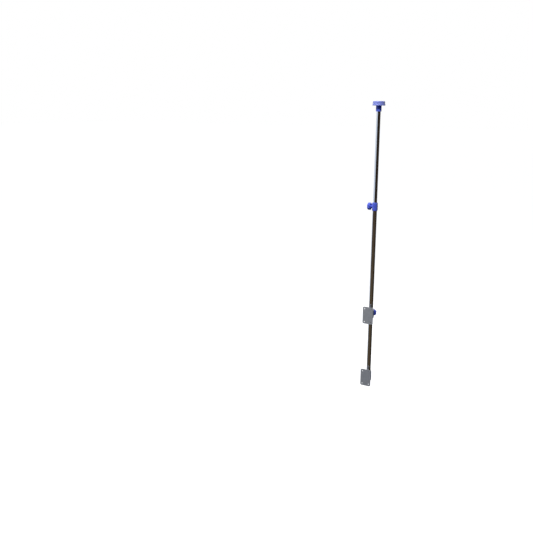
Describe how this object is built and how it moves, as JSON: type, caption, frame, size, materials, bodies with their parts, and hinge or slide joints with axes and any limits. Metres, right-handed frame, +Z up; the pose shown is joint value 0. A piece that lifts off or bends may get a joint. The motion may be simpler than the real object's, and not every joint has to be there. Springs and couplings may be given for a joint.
{
  "type": "infusion pole",
  "caption": "Chair-mounted telescopic infusion pole with a blue clamp collar, star knob and round head that stows two swing-out bag hooks.",
  "frame": {"origin": "middle of the lower bracket's screw pattern, in the plane of its mounting face", "axes": "+Z up along the pole, -Y out of the mounting face towards the chair, -X the way the collar's star knob points"},
  "size_m": [0.0672, 0.0773, 1.4589],
  "materials": {
    "polished_steel": "polished stainless tube with fine lengthwise polishing lines",
    "blue_plastic": "satin moulded plastic",
    "bracket_paint": "fine textured powder coat",
    "white_nylon": "turned nylon",
    "black_plastic": "moulded",
    "black_rubber": "matt",
    "brass": "turned",
    "plated_steel": "bright zinc plate",
    "aluminium": "turned"
  },
  "bodies": {
    "brackets": {"lower_bracket_plate": "bracket_paint", "lower_bracket_cup": "bracket_paint", "cup_pad": "black_rubber", "index_pin": "plated_steel", "upper_bracket_plate": "bracket_paint", "upper_bracket_ring": "bracket_paint", "ring_liner": "white_nylon", "ring_nut": "plated_steel"},
    "lower_pole": {"lower_tube": "polished_steel", "foot_plug": "black_plastic", "collar_body": "blue_plastic", "collar_bush": "white_nylon", "collar_insert": "brass", "collar_screw": "plated_steel"},
    "guide": {"guide_ring": "white_nylon"},
    "mast": {"upper_tube": "polished_steel", "mast_end_plug": "black_plastic", "guide_clip": "plated_steel", "mast_top_plug": "aluminium", "head_hub": "blue_plastic", "head_cap": "blue_plastic", "cap_screw": "plated_steel", "neck_screw": "plated_steel", "hook_pin_1": "plated_steel", "hook_pin_2": "plated_steel"},
    "clamp_tip": {"clamp_pad": "white_nylon"},
    "clamp_screw": {"clamp_stud": "plated_steel", "clamp_knob": "blue_plastic", "clamp_knob_cover": "blue_plastic"},
    "lock_tip": {"lock_pad": "white_nylon"},
    "lock_screw": {"lock_stud": "plated_steel", "lock_knob": "blue_plastic", "lock_knob_cover": "blue_plastic"},
    "hook_1": {"hook_arm_1": "blue_plastic"},
    "hook_2": {"hook_arm_2": "blue_plastic"}
  },
  "joints": [
    {"name": "pole_lift", "type": "slide", "parent": "brackets", "child": "lower_pole", "axis": [0, 0, 1], "range_m": [0, 0.4]},
    {"name": "height_slide", "type": "slide", "parent": "lower_pole", "child": "guide", "axis": [0, 0, 1], "range_m": [-0.44, 0.3]},
    {"name": "mast_turn", "type": "hinge", "parent": "guide", "child": "mast", "pos_m": [0, 0.04, 0.48], "axis": [0, 0, 1], "continuous": true},
    {"name": "clamp_tip_travel", "type": "slide", "parent": "lower_pole", "child": "clamp_tip", "axis": [-1, 0, 0], "range_m": [0, 0.00101]},
    {"name": "clamp_knob_turn", "type": "hinge", "parent": "clamp_tip", "child": "clamp_screw", "pos_m": [-0.03, 0.04, 0.9], "axis": [-1, 0, 0], "range_deg": [0, 360]},
    {"name": "lock_tip_travel", "type": "slide", "parent": "brackets", "child": "lock_tip", "axis": [0, 1, 0], "range_m": [0, 0.00101]},
    {"name": "lock_knob_turn", "type": "hinge", "parent": "lock_tip", "child": "lock_screw", "pos_m": [0, 0.07, 0.34], "axis": [0, 1, 0], "range_deg": [0, 360]},
    {"name": "hook_1_swing", "type": "hinge", "parent": "mast", "child": "hook_1", "pos_m": [0.02661, 0.03435, 1.4045], "axis": [0, 0, -1], "range_deg": [0, 90]},
    {"name": "hook_2_swing", "type": "hinge", "parent": "mast", "child": "hook_2", "pos_m": [-0.02661, 0.04566, 1.4045], "axis": [0, 0, -1], "range_deg": [0, 90]}
  ],
  "couplings": [
    {"joint": "clamp_tip_travel", "follows": "clamp_knob_turn", "m_per_rad": 0.00015915},
    {"joint": "lock_tip_travel", "follows": "lock_knob_turn", "m_per_rad": 0.00015915}
  ]
}
